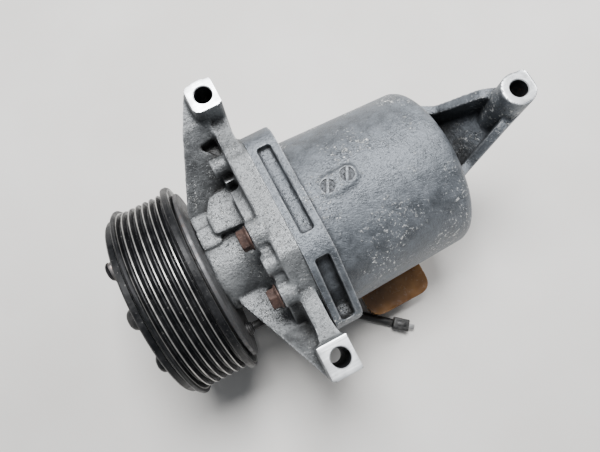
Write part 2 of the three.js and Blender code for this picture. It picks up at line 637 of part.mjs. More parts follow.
add('oil_separator', oilSeparator(), MACHINED);

export default pump;
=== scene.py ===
import json
import math

import bmesh
import bpy
from mathutils import Matrix, Vector

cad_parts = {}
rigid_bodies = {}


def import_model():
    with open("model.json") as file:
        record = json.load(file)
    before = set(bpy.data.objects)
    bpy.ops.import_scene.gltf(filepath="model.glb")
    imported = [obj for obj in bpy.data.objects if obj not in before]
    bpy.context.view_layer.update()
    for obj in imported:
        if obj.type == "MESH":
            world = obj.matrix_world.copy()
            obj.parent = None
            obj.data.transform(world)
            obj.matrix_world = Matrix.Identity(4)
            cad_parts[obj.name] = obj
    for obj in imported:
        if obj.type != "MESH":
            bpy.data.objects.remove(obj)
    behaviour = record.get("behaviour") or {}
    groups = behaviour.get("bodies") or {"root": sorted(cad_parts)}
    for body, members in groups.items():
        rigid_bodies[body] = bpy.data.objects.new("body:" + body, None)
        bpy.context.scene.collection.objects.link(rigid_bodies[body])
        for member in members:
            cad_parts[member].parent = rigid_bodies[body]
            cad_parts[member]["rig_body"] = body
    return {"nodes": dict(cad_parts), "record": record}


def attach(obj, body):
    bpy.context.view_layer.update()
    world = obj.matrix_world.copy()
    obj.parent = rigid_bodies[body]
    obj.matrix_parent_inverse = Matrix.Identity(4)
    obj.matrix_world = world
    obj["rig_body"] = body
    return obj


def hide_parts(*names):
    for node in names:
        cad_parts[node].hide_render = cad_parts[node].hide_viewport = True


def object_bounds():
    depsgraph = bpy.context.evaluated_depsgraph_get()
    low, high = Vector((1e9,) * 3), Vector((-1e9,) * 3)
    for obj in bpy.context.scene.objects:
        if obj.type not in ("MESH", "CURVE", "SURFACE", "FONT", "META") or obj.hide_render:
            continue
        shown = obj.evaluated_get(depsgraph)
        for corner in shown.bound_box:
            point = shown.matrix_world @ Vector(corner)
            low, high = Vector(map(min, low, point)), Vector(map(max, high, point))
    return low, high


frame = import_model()

# Belt-driven rotary-vane compressor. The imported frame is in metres, with its origin midway between
# the two front bolt holes, on the plane of their pads. Shapes below are drawn in millimetres in the
# shaft frame (X along the shaft, Y across, Z up), and place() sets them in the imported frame.
cad_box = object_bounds()
CAD_LOW, CAD_HIGH = Vector(cad_box[0]), Vector(cad_box[1])

MM = 0.001
LUG_X = 60.7
LUG_Y = 65
LUG_HALF = 7.8
PAD_Z = 56
LUG_FOOT_Z = -8
LUG_HOLE_R = 4.25
REAR_LUG_X = 187.4
REAR_LUG_Y = 0.5
REAR_LUG_R = 8.3
REAR_PAD_Z = 57.8
REAR_LUG_FOOT_Z = 26

RIB_PITCH = 3.56
GROOVES = 7
CREST_R = 49.7
GROOVE_R = 47.1
RIM_R = 51.8
PULLEY_X0 = -5.5
PULLEY_X1 = 24.3

PLATE_X0 = 57
JOINT_X = 67
PLATE_R = 49.5
LEDGE_X0 = 51.5
LEDGE_R = 47
SHELL_X0 = 67.3
SHELL_FLANGE_X1 = 81.5
SHELL_R0 = 46.8
SHELL_R1 = 44.2
SHELL_END_X = 155
CAVITY_R = 36

BOLT_SPOTS = [(18, 49), (92, 45), (131, 45), (200, 50), (255, 46), (315, 52)]
BOLT_HOLE_R = 3.3
BOLT_SEAT_X = 50.5
BOLT_END_X = 70.4

ARMATURE_X0 = -9.6
ARMATURE_X1 = -6
ARMATURE_R = 48.5
STUD_CIRCLE_R = 37.5
STUD_STEP = 40
FIRST_STUD = 24

CAST_VOXEL = 0.0008
CAST_SMOOTHING = 3
ROUND = 128


# ---------------------------------------------------------------- camera
def add_camera():
    camera = bpy.data.objects.new("camera", bpy.data.cameras.new("camera"))
    bpy.context.scene.collection.objects.link(camera)
    camera.location = (-0.01054, -0.05377, 0.21179)
    camera.rotation_euler = [math.radians(a) for a in (13.029, 0.479, -27.664)]
    camera.data.sensor_width = 36
    camera.data.lens = 30.706
    camera.data.clip_start = 0.01
    bpy.context.scene.camera = camera


add_camera()


# ---------------------------------------------------------------- materials
class Nodes:
    """A principled material and short calls that add nodes to it."""

    def __init__(self, name, roughness=0.5, metallic=0.0):
        self.material = bpy.data.materials.new(name)
        self.material.use_nodes = True
        self.tree = self.material.node_tree
        self.shader = self.tree.nodes["Principled BSDF"]
        self.shader.inputs["Roughness"].default_value = roughness
        self.shader.inputs["Metallic"].default_value = metallic
        self.spot = self.tree.nodes.new("ShaderNodeTexCoord").outputs["Object"]

    def link(self, value, socket):
        if hasattr(value, "is_linked"):
            self.tree.links.new(value, socket)
        else:
            socket.default_value = value

    def noise(self, scale, detail=3, roughness=0.55, spot=None):
        node = self.tree.nodes.new("ShaderNodeTexNoise")
        self.tree.links.new(spot or self.spot, node.inputs["Vector"])
        node.inputs["Scale"].default_value = scale
        node.inputs["Detail"].default_value = detail
        node.inputs["Roughness"].default_value = roughness
        return node.outputs["Fac"]

    def stretched(self, scale):
        node = self.tree.nodes.new("ShaderNodeMapping")
        self.tree.links.new(self.spot, node.inputs["Vector"])
        node.inputs["Scale"].default_value = scale
        return node.outputs["Vector"]

    def between(self, value, low, high, out_low=0.0, out_high=1.0):
        node = self.tree.nodes.new("ShaderNodeMapRange")
        node.clamp = True
        self.link(value, node.inputs["Value"])
        node.inputs["From Min"].default_value = low
        node.inputs["From Max"].default_value = high
        node.inputs["To Min"].default_value = out_low
        node.inputs["To Max"].default_value = out_high
        return node.outputs["Result"]

    def sum(self, operation, a, b):
        node = self.tree.nodes.new("ShaderNodeMath")
        node.operation = operation
        node.use_clamp = operation in ("ADD", "MULTIPLY")
        self.link(a, node.inputs[0])
        self.link(b, node.inputs[1])
        return node.outputs[0]

    def blend(self, factor, a, b):
        node = self.tree.nodes.new("ShaderNodeMix")
        node.data_type = "RGBA"
        self.link(factor, node.inputs[0])
        self.link(a if hasattr(a, "is_linked") else (*a, 1), node.inputs[6])
        self.link(b if hasattr(b, "is_linked") else (*b, 1), node.inputs[7])
        return node.outputs[2]

    def radius(self):
        """Distance from the shaft's axis, in metres."""
        split = self.tree.nodes.new("ShaderNodeSeparateXYZ")
        self.tree.links.new(self.spot, split.inputs[0])
        z = self.tree.nodes.new("ShaderNodeMath")
        z.operation = "ADD"
        self.tree.links.new(split.outputs["Z"], z.inputs[0])
        z.inputs[1].default_value = PAD_Z * MM
        join = self.tree.nodes.new("ShaderNodeCombineXYZ")
        self.tree.links.new(split.outputs["Y"], join.inputs["Y"])
        self.tree.links.new(z.outputs[0], join.inputs["Z"])
        length = self.tree.nodes.new("ShaderNodeVectorMath")
        length.operation = "LENGTH"
        self.tree.links.new(join.outputs[0], length.inputs[0])
        return length.outputs["Value"]

    def hollowness(self):
        """1 in a hollow of the surface and 0 on the flat."""
        node = self.tree.nodes.new("ShaderNodeNewGeometry")
        return self.between(node.outputs["Pointiness"], 0.5, 0.44)

    def enclosed(self, distance, low, high):
        """1 deep inside a recess of the piece and 0 in the open."""
        node = self.tree.nodes.new("ShaderNodeAmbientOcclusion")
        node.samples = 8
        node.only_local = True
        node.inputs["Distance"].default_value = distance
        return self.between(node.outputs["AO"], high, low)

    def edges(self):
        """1 on a sharp outer edge and 0 on the flat."""
        node = self.tree.nodes.new("ShaderNodeNewGeometry")
        return self.between(node.outputs["Pointiness"], 0.52, 0.6)

    def bump(self, height, distance, strength, under=None):
        node = self.tree.nodes.new("ShaderNodeBump")
        node.inputs["Distance"].default_value = distance
        node.inputs["Strength"].default_value = strength
        self.tree.links.new(height, node.inputs["Height"])
        if under:
            self.tree.links.new(under, node.inputs["Normal"])
        return node.outputs["Normal"]

    def finish(self, color, roughness=None, normal=None):
        self.tree.links.new(color, self.shader.inputs["Base Color"])
        if roughness:
            self.tree.links.new(roughness, self.shader.inputs["Roughness"])
        if normal:
            self.tree.links.new(normal, self.shader.inputs["Normal"])
        return self.material


def cast_aluminium(name, tone, speckle):
    """Sand-cast aluminium: mottled grey, white oxide specks, painted shade in the hollows and recesses,
    painted highlights on the sharp edges.
    """
    n = Nodes(name, metallic=0.6)
    broad = n.between(n.noise(24, 3), 0.36, 0.64)
    blotch = n.between(n.noise(130, 7, 0.72), 0.38, 0.64)
    color = n.blend(broad, [c * 0.7 for c in tone], [c * 1.15 for c in tone])
    color = n.blend(n.sum("MULTIPLY", blotch, 0.6), color, [c * 2.1 for c in tone])
    grain = n.noise(1300, 3, 0.65)
    color = n.blend(n.between(grain, 0.5, 0.72, 0, 0.45), color, [c * 0.45 for c in tone])
    specks = n.between(n.noise(620, 3, 0.7), 0.57, 0.64)
    patches = n.between(n.noise(45, 4, 0.65), 0.6 - speckle, 0.7 - speckle)
    oxide = n.sum("MULTIPLY", specks, patches)
    color = n.blend(n.sum("MULTIPLY", oxide, 0.85), color, (0.8, 0.81, 0.8))
    pits = n.sum("MULTIPLY", n.between(n.noise(950, 2), 0.4, 0.33), n.between(patches, 0, 1, 0.3, 1))
    color = n.blend(n.sum("MULTIPLY", pits, 0.4), color, [c * 0.3 for c in tone])
    # Painted shade: hollows of the surface, found by pointiness, are darkened to near black.
    color = n.blend(n.sum("MULTIPLY", n.hollowness(), 0.8), color, (0.03, 0.03, 0.032))
    # Painted highlight: sharp outer edges, found by pointiness, are lightened to pale grey.
    color = n.blend(n.sum("MULTIPLY", n.edges(), 0.75), color, (0.74, 0.76, 0.78))
    # Painted shade: recesses found by ambient occlusion within the piece are darkened to near black,
    # varied by the blotch noise.
    recess_shade = n.sum("MULTIPLY", n.enclosed(0.022, 0.3, 0.8), n.between(blotch, 0, 1, 1, 0.7))
    color = n.blend(n.sum("MULTIPLY", recess_shade, 0.93), color, (0.022, 0.021, 0.02))
    rough = n.between(blotch, 0, 1, 0.36, 0.6)
    skin = n.bump(grain, 0.0005, 0.6)
    skin = n.bump(n.noise(330, 4, 0.65), 0.001, 0.5, skin)
    skin = n.bump(oxide, 0.0005, 0.8, skin)
    skin = n.bump(pits, -0.0005, 0.8, skin)
    return n.finish(color, rough, skin)


def machined_aluminium(name):
    n = Nodes(name, metallic=0.85)
    lines = n.noise(900, 2, 0.5, spot=n.stretched((0.12, 1.6, 1)))
    stain = n.between(n.noise(190, 4, 0.6), 0.4, 0.7)
    color = n.blend(n.sum("MULTIPLY", stain, 0.5), (0.84, 0.86, 0.88), (0.6, 0.62, 0.64))
    color = n.blend(n.between(lines, 0.58, 0.75, 0, 0.35), color, (0.45, 0.46, 0.48))
    rough = n.between(stain, 0, 1, 0.3, 0.46)
    return n.finish(color, rough, n.bump(lines, 0.0001, 0.4))


def worn_black(name, crest):
    """Black paint, greyed by dust, worn through to bright steel on the rib crests."""
    n = Nodes(name, roughness=0.45, metallic=0.25)
    n.shader.inputs["Specular IOR Level"].default_value = 0.3
    dust = n.between(n.noise(120, 5, 0.65), 0.42, 0.7)
    color = n.blend(n.sum("MULTIPLY", dust, 0.4), (0.007, 0.0075, 0.0085), (0.045, 0.045, 0.048))
    chips = n.between(n.noise(900, 3, 0.6), 0.66, 0.7, 0, 0.6)
    color = n.blend(chips, color, (0.18, 0.175, 0.17))
    if crest:
        edge = n.between(n.radius(), (CREST_R - 0.16) * MM, (CREST_R - 0.04) * MM)
        below_rim = n.between(n.radius(), (CREST_R + 0.6) * MM, (CREST_R + 0.3) * MM)
        wear = n.between(n.noise(90, 3, 0.6), 0.3, 0.6, 0.35, 1)
        worn = n.sum("MULTIPLY", n.sum("MULTIPLY", edge, below_rim), wear)
        color = n.blend(worn, color, (0.55, 0.54, 0.52))
        n.link(n.between(worn, 0, 1, 0.25, 0.95), n.shader.inputs["Metallic"])
    rough = n.between(dust, 0, 1, 0.32, 0.62)
    return n.finish(color, rough, n.bump(n.noise(700, 3), 0.00015, 0.35))


def steel(name, tone, roughness, rust=0.0):
    n = Nodes(name, metallic=0.9)
    haze = n.between(n.noise(260, 4, 0.6), 0.35, 0.7)
    color = n.blend(haze, tone, [c * 0.66 for c in tone])
    spots = n.between(n.noise(480, 5, 0.7), 0.62 - rust * 0.3, 0.74 - rust * 0.3, 0, 0.4 + rust * 0.6)
    color = n.blend(spots, color, (0.2, 0.11, 0.07))
    rough = n.between(haze, 0, 1, roughness, roughness + 0.2)
    return n.finish(color, rough, n.bump(n.noise(1300, 2), 0.00008, 0.4))


def rusty_steel(name):
    n = Nodes(name, metallic=0.35)
    patch = n.between(n.noise(420, 4, 0.65), 0.35, 0.68)
    color = n.blend(patch, (0.105, 0.062, 0.05), (0.035, 0.021, 0.018))
    color = n.blend(n.between(n.noise(1400, 2), 0.58, 0.72, 0, 0.4), color, (0.22, 0.165, 0.15))
    rough = n.between(patch, 0, 1, 0.5, 0.85)
    return n.finish(color, rough, n.bump(n.noise(1100, 4, 0.7), 0.0003, 0.6))


def copper(name):
    n = Nodes(name, roughness=0.4, metallic=0.8)
    turns = n.between(n.noise(700, 3), 0.4, 0.65)
    color = n.blend(turns, (0.55, 0.26, 0.1), (0.3, 0.12, 0.05))
    return n.finish(color, None, n.bump(n.noise(900, 2), 0.0002, 0.5))


def rubber(name):
    n = Nodes(name, metallic=0.0)
    dust = n.between(n.noise(350, 5, 0.7), 0.45, 0.75)
    color = n.blend(n.sum("MULTIPLY", dust, 0.6), (0.012, 0.012, 0.013), (0.075, 0.07, 0.065))
    rough = n.between(dust, 0, 1, 0.5, 0.85)
    return n.finish(color, rough, n.bump(n.noise(1600, 3), 0.0002, 0.5))


def amber_plastic(name):
    n = Nodes(name, roughness=0.16)
    n.shader.inputs["Coat Weight"].default_value = 0.5
    n.shader.inputs["Coat Roughness"].default_value = 0.08
    cloud = n.between(n.noise(55, 3), 0.35, 0.65)
    color = n.blend(cloud, (0.13, 0.055, 0.014), (0.27, 0.135, 0.045))
    color = n.blend(n.between(n.noise(500, 4, 0.7), 0.6, 0.72, 0, 0.5), color, (0.12, 0.06, 0.03))
    rough = n.between(n.noise(300, 4), 0.4, 0.7, 0.12, 0.34)
    return n.finish(color, rough, n.bump(n.noise(180, 2), 0.0002, 0.25))


def black_plastic(name):
    n = Nodes(name)
    dust = n.between(n.noise(420, 5, 0.7), 0.42, 0.72)
    color = n.blend(dust, (0.01, 0.01, 0.011), (0.06, 0.058, 0.055))
    rough = n.between(dust, 0, 1, 0.35, 0.65)
    return n.finish(color, rough, n.bump(n.noise(1300, 3), 0.00012, 0.5))


def pale_floor(name):
    n = Nodes(name, roughness=0.85)
    color = n.blend(n.between(n.noise(9, 3), 0.35, 0.65), (0.72, 0.7, 0.67), (0.78, 0.765, 0.74))
    return n.finish(color, None, n.bump(n.noise(240, 3), 0.0004, 0.2))


MATERIALS = {
    "cast_front": cast_aluminium("cast_front", (0.18, 0.188, 0.194), 0.1),
    "cast_rear": cast_aluminium("cast_rear", (0.125, 0.138, 0.154), 0.1),
    "machined_aluminium": machined_aluminium("machined_aluminium"),
    "pulley_black": worn_black("pulley_black", True),
    "black_steel": worn_black("black_steel", False),
    "plain_steel": steel("plain_steel", (0.42, 0.42, 0.42), 0.35, 0.1),
    "sooty_steel": steel("sooty_steel", (0.17, 0.17, 0.175), 0.5, 0.15),
    # Painted shade: near-black steel with a few rust spots for the walls of the lug bolt holes, standing
    # in for the shade inside them.
    "painted_shade_bore": steel("painted_shade_bore", (0.05, 0.052, 0.06), 0.5, 0.2),
    "spring_steel": steel("spring_steel", (0.3, 0.31, 0.32), 0.32, 0.05),
    "hub_steel": steel("hub_steel", (0.2, 0.19, 0.19), 0.45, 0.35),
    "rusty_steel": rusty_steel("rusty_steel"),
    "copper": copper("copper"),
    "rubber": rubber("rubber"),
    "brown_plastic": amber_plastic("brown_plastic"),
    "black_plastic": black_plastic("black_plastic"),
}
NODE_SLOTS = {part["node"]: part["material_slot"] for part in frame["record"]["subparts"]}


# ---------------------------------------------------------------- shape helpers
def place(x, y, z):
    return Vector(((x - LUG_X) * MM, y * MM, (z - PAD_Z) * MM))


def polar(degrees, r):
    return r * math.cos(math.radians(degrees)), r * math.sin(math.radians(degrees))


def turned(profile, sides=ROUND, y=0.0, z=0.0):
    """A solid of revolution about a line along X, from [x, radius] points that start and end on it."""
    verts, rings = [], []
    for x, r in profile:
        start = len(verts)
        count = 1 if r == 0 else sides
        for i in range(count):
            dy, dz = polar(360 * i / sides, r)
            verts.append((x, y + dy, z + dz))
        rings.append([start + i % count for i in range(sides)])
    faces = []
    for a, b in zip(rings, rings[1:]):
        for i in range(sides):
            j = (i + 1) % sides
            corners = [a[i], a[j], b[j], b[i]]
            face = [c for k, c in enumerate(corners) if c not in corners[:k]]
            if len(face) > 2:
                faces.append(face)
    return verts, faces


def tube_ring(x0, x1, r0, r1):
    return closed_turn([(x0, r0), (x0, r1), (x1, r1), (x1, r0)])


def closed_turn(section, sides=ROUND):
    """A ring about the shaft whose section is a closed loop of [x, radius] points."""
    verts, faces = [], []
    for x, r in section:
        for i in range(sides):
            y, z = polar(360 * i / sides, r)
            verts.append((x, y, z))
    for k in range(len(section)):
        a, b = k * sides, (k + 1) % len(section) * sides
        for i in range(sides):
            j = (i + 1) % sides
            faces.append([a + i, a + j, b + j, b + i])
    return verts, faces


def rod(x0, x1, r, y=0.0, z=0.0, sides=64):
    return turned([(x0, 0), (x0, r), (x1, r), (x1, 0)], sides, y, z)


def prism(points, low, high, axis):
    """Extrudes an outline along an axis: Y and Z points along X, X and Z along Y, X and Y along Z."""
    def at(a, b, c):
        return {"x": (c, a, b), "y": (a, c, b), "z": (a, b, c)}[axis]
    count = len(points)
    verts = [at(a, b, low) for a, b in points] + [at(a, b, high) for a, b in points]
    faces = [list(range(count))[::-1], list(range(count, 2 * count))]
    for i in range(count):
        j = (i + 1) % count
        faces.append([i, j, count + j, count + i])
    return verts, faces


def post(x, y, z0, z1, r, sides=64):
    circle = [(x + dx, y + dy) for dx, dy in (polar(360 * i / sides, r) for i in range(sides))]
    return prism(circle, z0, z1, "z")


def cone_post(x, y, z0, z1, r0, r1, sides=64):
    verts, faces = post(x, y, z0, z1, r0, sides)
    top = [(x + (a - x) * r1 / r0, y + (b - y) * r1 / r0, c) for a, b, c in verts[sides:]]
    return verts[:sides] + top, faces


def block(x0, x1, y0, y1, z0, z1):
    return prism([(x0, y0), (x1, y0), (x1, y1), (x0, y1)], z0, z1, "z")


def rounded(corners, length, steps=6):
    """The corners' outline, each corner rounded over the given length of its sides."""
    points = []
    count = len(corners)
    for i, corner in enumerate(corners):
        here = Vector(corner)
        before = Vector(corners[i - 1]) - here
        after = Vector(corners[(i + 1) % count]) - here
        reach = min(length, before.length / 2.1, after.length / 2.1)
        start = here + before.normalized() * reach
        end = here + after.normalized() * reach
        for k in range(steps + 1):
            t = k / steps
            points.append(tuple(start * (1 - t) ** 2 + here * 2 * t * (1 - t) + end * t ** 2))
    return points


def about(shape, degrees):
    """Turns a shape about the shaft."""
    c, s = math.cos(math.radians(degrees)), math.sin(math.radians(degrees))
    verts, faces = shape
    return [(x, y * c - z * s, y * s + z * c) for x, y, z in verts], faces


def mesh_object(name, shape):
    mesh = bpy.data.meshes.new(name)
    mesh.from_pydata([place(*v) for v in shape[0]], [], shape[1])
    piece = bpy.data.objects.new(name, mesh)
    bpy.context.scene.collection.objects.link(piece)
    fix = bmesh.new()
    fix.from_mesh(mesh)
    bmesh.ops.remove_doubles(fix, verts=fix.verts, dist=1e-7)
    bmesh.ops.recalc_face_normals(fix, faces=fix.faces)
    fix.to_mesh(mesh)
    fix.free()
    return piece


def apply_modifiers(piece):
    graph = bpy.context.evaluated_depsgraph_get()
    mesh = bpy.data.meshes.new_from_object(piece.evaluated_get(graph))
    old = piece.data
    piece.modifiers.clear()
    piece.data = mesh
    bpy.data.meshes.remove(old)
    mesh.name = piece.name


def combine(piece, joined=(), removed=(), common=()):
    """Joins shapes to a piece, takes shapes away and keeps what lies in the common ones."""
    others = []
    for operation, shapes in (("UNION", joined), ("INTERSECT", common), ("DIFFERENCE", removed)):
        for shape in shapes:
            other = shape if isinstance(shape, bpy.types.Object) else mesh_object("cutter", shape)
            others.append(other)
            modifier = piece.modifiers.new(operation, "BOOLEAN")
            modifier.operation = operation
            modifier.solver = "MANIFOLD"
            modifier.object = other
    apply_modifiers(piece)
    for other in others:
        bpy.data.objects.remove(other)
    return piece


def cast_skin(piece):
    """Remeshes a piece and smooths it, so that its corners and joins get cast radii."""
    remesh = piece.modifiers.new("remesh", "REMESH")
    remesh.mode = "VOXEL"
    remesh.voxel_size = CAST_VOXEL
    smooth = piece.modifiers.new("smooth", "SMOOTH")
    smooth.factor = 0.5
    smooth.iterations = CAST_SMOOTHING
    apply_modifiers(piece)
    return piece


def bevelled(piece, width, segments=2):
    """Bevels the edges that turn by more than 35 degrees, by a width in mm."""
    bevel = piece.modifiers.new("bevel", "BEVEL")
    bevel.width = width * MM
    bevel.segments = segments
    bevel.limit_method = "ANGLE"
    bevel.angle_limit = math.radians(35)
    apply_modifiers(piece)
    return piece


def dress(piece, node, material, sharp=35):
    """Shades a piece, gives it its material and lets it stand for a CAD node and ride as that does."""
    piece.data.materials.clear()
    piece.data.materials.append(MATERIALS[material])
    piece.data.shade_smooth()
    piece.data.set_sharp_from_angle(angle=math.radians(sharp))
    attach(piece, frame["nodes"][node]["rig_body"])
    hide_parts(node)
    return piece


def paint(piece, material, chosen):
    """Gives a second material to the faces that a test picks by their middle and normal, in mm."""
    piece.data.materials.append(MATERIALS[material])
    index = len(piece.data.materials) - 1
    for face in piece.data.polygons:
        middle = face.center
        x, y, z = middle.x / MM + LUG_X, middle.y / MM, middle.z / MM + PAD_Z
        if chosen(x, y, z, face.normal):
            face.material_index = index


# ---------------------------------------------------------------- coil lead
LEAD_DIAMETER = 0.0046
LEAD_ROUTE = [
    (-0.0301, -0.033, -0.064), (-0.0257, -0.0331, -0.0643), (-0.0216, -0.0335, -0.0668),
    (-0.0189, -0.034, -0.0709), (-0.0179, -0.0347, -0.076), (-0.0175, -0.0355, -0.083),
    (-0.0163, -0.0365, -0.0905), (-0.0127, -0.038, -0.098), (-0.0071, -0.04, -0.1032),
    (-0.0003, -0.0422, -0.1054), (0.0073, -0.0444, -0.1056), (0.0153, -0.047, -0.1056),
    (0.0227, -0.0506, -0.1056), (0.0293, -0.0554, -0.1056), (0.0361, -0.0614, -0.1056),
    (0.0428, -0.067, -0.1056),
]


def lead():
    curve = bpy.data.curves.new("coil_lead_wire", "CURVE")
    curve.dimensions = "3D"
    curve.bevel_depth = LEAD_DIAMETER / 2
    curve.bevel_resolution = 6
    curve.use_fill_caps = True
    spline = curve.splines.new("BEZIER")
    spline.bezier_points.add(len(LEAD_ROUTE) - 1)
    for point, spot in zip(spline.bezier_points, LEAD_ROUTE):
        point.co = spot
        point.handle_left_type = "AUTO"
        point.handle_right_type = "AUTO"
    wire = bpy.data.objects.new("coil_lead_wire", curve)
    bpy.context.scene.collection.objects.link(wire)
    curve.materials.append(MATERIALS["rubber"])
    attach(wire, "housing")
    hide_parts("coil_lead")
    return wire


def connector():
    """A boxy plug shell with an open mouth, a latch on top and a spade blade in the mouth."""
    end, before = Vector(LEAD_ROUTE[-1]), Vector(LEAD_ROUTE[-2])
    heading = math.atan2(end.y - before.y, end.x - before.x)
    shell = mesh_object("connector_shell", block(0.4, 10, -3.6, 3.6, -2.3, 3))
    shell = bevelled(shell, 0.6, 3)
    mouth = block(4.5, 10.5, -2.7, 2.7, -1.5, 2.2)
    shell = combine(shell, removed=[mouth])
    latch = bevelled(mesh_object("connector_latch", block(2.5, 9.2, -1.3, 1.3, 2.8, 3.2)), 0.15)
    ribs = [mesh_object("connector_rib", block(x, x + 0.5, -3.6, 3.6, -2.3, -2.1)) for x in (1.6, 2.8)]
    combine(shell, joined=[latch, *ribs])
    dress(shell, "lead_connector", "black_plastic")
    blade = bevelled(mesh_object("connector_blade", block(5, 13.5, -1.6, 1.6, 0, 0.8)), 0.2)
    dress(blade, "lead_connector", "plain_steel")
    turn = Matrix.Rotation(heading, 4, "Z")
    for part in (shell, blade):
        part.data.transform(Matrix.Translation(Vector((LUG_X, 0, PAD_Z)) * MM))
        part.data.transform(Matrix.Translation(end) @ turn)
    return [shell, blade]


wire = lead()
plug = connector()


# ---------------------------------------------------------------- front housing
bolt_centres = [polar(degrees, r) for degrees, r in BOLT_SPOTS]
outer_centres = [polar(degrees, r) for degrees, r in BOLT_SPOTS if r > 45.5]


def front_lug(side):
    x0, x1 = LUG_X - LUG_HALF, LUG_X + LUG_HALF
    y0, y1 = side * (LUG_Y - LUG_HALF), side * (LUG_Y + LUG_HALF)
    corner = 5 if side > 0 else 1.6
    return prism(rounded([(x0, y0), (x1, y0), (x1, y1), (x0, y1)], corner), LUG_FOOT_Z, PAD_Z, "z")


def lug_arm(section, side):
    plan = [(57.5, 20), (57.5, 50), (55.5, 60), (67, 60), (65.6, 50), (65.6, 20)]
    arm = mesh_object("arm", prism(section, 50, 70, "x"))
    return combine(arm, common=[prism([(x, side * y) for x, y in plan], -20, 60, "z")])


def brace(section, plan):
    shelf = mesh_object("brace", prism(section, 20, 60, "x"))
    return combine(shelf, common=[prism(rounded(plan, 1.5), -30, 60, "z")])


def front_cast():
    """The rough casting: nose, flange plate, lugs, arms and braces, before any machining."""
    nose = [(27.3, 0), (27.3, 22), (44, 22.6), (52.5, 27), (52.5, 0)]
    plate_top = [(-36, 35), (-17, 49.5), (33, 49.5), (45, 42), (40, 20), (0, 0)]
    far_arm = [(26, 49.3), (38, 47.4), (50, 43), (60, 42), (60, -4), (20, -14)]
    near_arm = [(-30, 38), (-36, 37), (-60, 38), (-60, -4), (-20, -14)]
    far_shelf = [(18, 11), (57, 46), (73, 52), (73, 44), (57, 38), (18, 3)]
    near_shelf = [(-18, 12), (-45, 16), (-73, 44), (-73, 35), (-45, 9), (-18, 4)]
    far_plan = [(58, 72.5), (53.2, 72.5), (27.6, 29), (27.6, 15), (58, 15)]
    near_plan = [(58, -72.5), (53.2, -72.5), (31.5, -22), (32, -12), (45, -12), (48.5, -33), (58, -36)]
    saddle = [(36, 12), (36, 22), (41, 30), (54, 32), (57.5, 18), (57.5, 10)]
    step = [(27.5, 8), (27.5, 18.6), (38, 19.5), (38, 8)]
    piece = mesh_object("front_housing_casting", rod(-3.5, 22, 17.3, sides=ROUND))
    combine(piece, joined=[
        rod(21.3, 28, 20.3, sides=ROUND),
        turned(nose),
        rod(LEDGE_X0, PLATE_X0 + 1, LEDGE_R, sides=ROUND),
        rod(PLATE_X0, JOINT_X + 1, PLATE_R, sides=ROUND),
        prism(rounded(plate_top, 2.5), PLATE_X0, JOINT_X + 1, "x"),
        lug_arm(far_arm, 1),
        lug_arm(near_arm, -1),
        front_lug(1),
        front_lug(-1),
        brace(far_shelf, far_plan),
        brace(near_shelf, near_plan),
        prism(rounded(saddle, 2), -4, 27, "z"),
        block(27.5, 37, 19, 25.2, -3, 19),
        prism(rounded(step, 2), 8, 23, "z"),
        rod(49.8, PLATE_X0 + 1, 5, -16, 42),
        rod(49, PLATE_X0 + 1, 4.6, 37.4, 38.6),
        *[rod(BOLT_SEAT_X, PLATE_X0 + 1, 6.5, y, z) for y, z in bolt_centres],
        *[rod(PLATE_X0, JOINT_X + 1, 8.2, y, z) for y, z in outer_centres],
    ])
    combine(piece, removed=[
        prism(rounded([(47.5, 50.5), (56.8, 51), (56.8, 42)], 1), 33, 60, "z"),
        prism(rounded([(49.5, 29), (56.8, 29.3), (56.8, 23.5), (51.5, 22.5)], 1), 27.2, 60, "z"),
    ])
    return cast_skin(piece)


def lug_cuts(x, y, foot, pad):
    """A bolt hole with small chamfers at the pad and at the foot."""
    return [
        post(x, y, foot - 2, pad + 2, LUG_HOLE_R),
        cone_post(x, y, pad - 0.6, pad + 0.6, LUG_HOLE_R - 0.2, LUG_HOLE_R + 1),
        cone_post(x, y, foot + 0.6, foot - 0.6, LUG_HOLE_R - 0.2, LUG_HOLE_R + 1),
    ]


def front_housing():
    piece = front_cast()
    combine(piece, removed=[
        block(JOINT_X, JOINT_X + 5, -90, 90, -90, 90),
        rod(-4.5, 37, 10.5),
        rod(36, 61, 14),
        rod(59.5, 64, 33, sides=ROUND),
        rod(63.4, JOINT_X + 1, CAVITY_R + 0.2, sides=ROUND),
        tube_ring(-1.2, 0.8, 15.4, 18),
        tube_ring(22.7, 24.5, 18.6, 21),
        *lug_cuts(LUG_X, LUG_Y, LUG_FOOT_Z, PAD_Z),
        *lug_cuts(LUG_X, -LUG_Y, LUG_FOOT_Z, PAD_Z),
        *[rod(BOLT_SEAT_X - 5, BOLT_SEAT_X, 6.7, y, z) for y, z in bolt_centres],
        *[rod(BOLT_SEAT_X - 1, JOINT_X + 1, BOLT_HOLE_R, y, z, 32) for y, z in bolt_centres],
    ])
    dress(piece, "front_housing", "cast_front", sharp=40)
    paint(piece, "machined_aluminium", is_front_machined)
    # Painted shade: the walls of the front lug bolt holes get the near-black bore material.
    paint(piece, "painted_shade_bore", lambda x, y, z, n: in_bore(x - LUG_X, abs(y) - LUG_Y, n))


def in_bore(from_x, from_y, normal):
    return math.hypot(from_x, from_y) < LUG_HOLE_R + 0.05 and abs(normal.z) < 0.3


def is_front_machined(x, y, z, normal):
    near_hole = math.hypot(x - LUG_X, abs(y) - LUG_Y) < LUG_HOLE_R + 1 and z > LUG_FOOT_Z - 1
    pad = abs(y) > LUG_Y - LUG_HALF - 0.5 and (z > PAD_Z - 0.5 and normal.z > 0.97 or z < LUG_FOOT_Z + 0.5)
    joint = x > JOINT_X - 0.01 and abs(normal.x) > 0.99
    bored = x > 58 and math.hypot(y, z) < CAVITY_R + 1 or math.hypot(y, z) < 14.1 and x > -3.6
    return near_hole or pad or joint or bored


front_housing()


